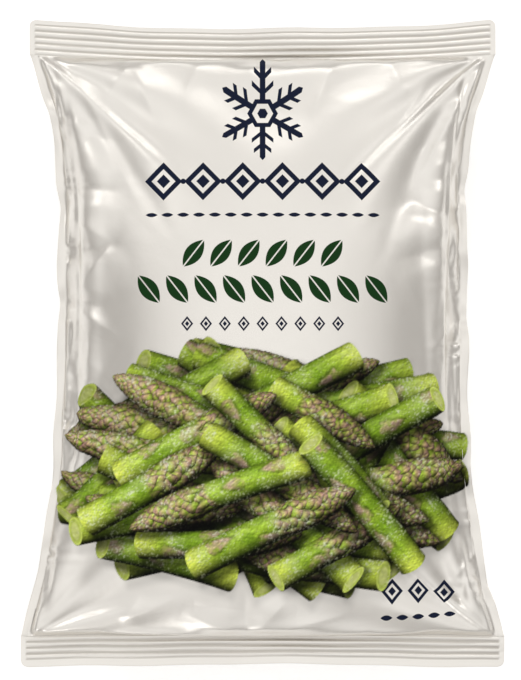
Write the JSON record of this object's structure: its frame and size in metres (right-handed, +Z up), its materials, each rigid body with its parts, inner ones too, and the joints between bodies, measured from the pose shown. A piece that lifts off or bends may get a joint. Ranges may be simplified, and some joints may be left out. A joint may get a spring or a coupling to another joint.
{
  "type": "frozen vegetable pouch",
  "caption": "Filled heat-sealed film pouch lying on its back, with ribbed end seals, plain side seals and cut asparagus spears inside.",
  "frame": {"origin": "under the middle of the pouch, on the surface that it lies on", "axes": "+Z up through the printed front, +Y along the pouch towards its head seal, +X across it"},
  "size_m": [0.2352, 0.3151, 0.076],
  "materials": {
    "pearl_film": "pearl-white packaging film with a satin sheen, printed on its front",
    "spear_tip": null,
    "spear_stem": null
  },
  "bodies": {
    "root": {"film_front": "pearl_film", "film_back": "pearl_film", "spear_01_tip": "spear_tip", "spear_02_stem": "spear_stem", "spear_03_tip": "spear_tip", "spear_04_stem": "spear_stem", "spear_05_tip": "spear_tip", "spear_06_stem": "spear_stem", "spear_07_tip": "spear_tip", "spear_08_stem": "spear_stem", "spear_09_tip": "spear_tip", "spear_10_stem": "spear_stem", "spear_11_tip": "spear_tip", "spear_12_stem": "spear_stem", "spear_13_tip": "spear_tip", "spear_14_stem": "spear_stem", "spear_15_tip": "spear_tip", "spear_16_stem": "spear_stem", "spear_17_tip": "spear_tip", "spear_18_stem": "spear_stem", "spear_19_tip": "spear_tip", "spear_20_stem": "spear_stem", "spear_21_tip": "spear_tip", "spear_22_stem": "spear_stem", "spear_23_tip": "spear_tip", "spear_24_stem": "spear_stem", "spear_25_tip": "spear_tip", "spear_26_stem": "spear_stem", "spear_27_tip": "spear_tip", "spear_28_stem": "spear_stem", "spear_29_tip": "spear_tip", "spear_30_stem": "spear_stem", "spear_31_tip": "spear_tip", "spear_32_stem": "spear_stem", "spear_33_tip": "spear_tip", "spear_34_stem": "spear_stem", "spear_35_tip": "spear_tip", "spear_36_stem": "spear_stem", "spear_37_tip": "spear_tip", "spear_38_stem": "spear_stem", "spear_39_tip": "spear_tip", "spear_40_stem": "spear_stem", "spear_41_tip": "spear_tip", "spear_42_stem": "spear_stem", "spear_43_tip": "spear_tip", "spear_44_stem": "spear_stem", "spear_45_tip": "spear_tip", "spear_46_stem": "spear_stem", "spear_47_tip": "spear_tip", "spear_48_stem": "spear_stem"}
  },
  "joints": []
}
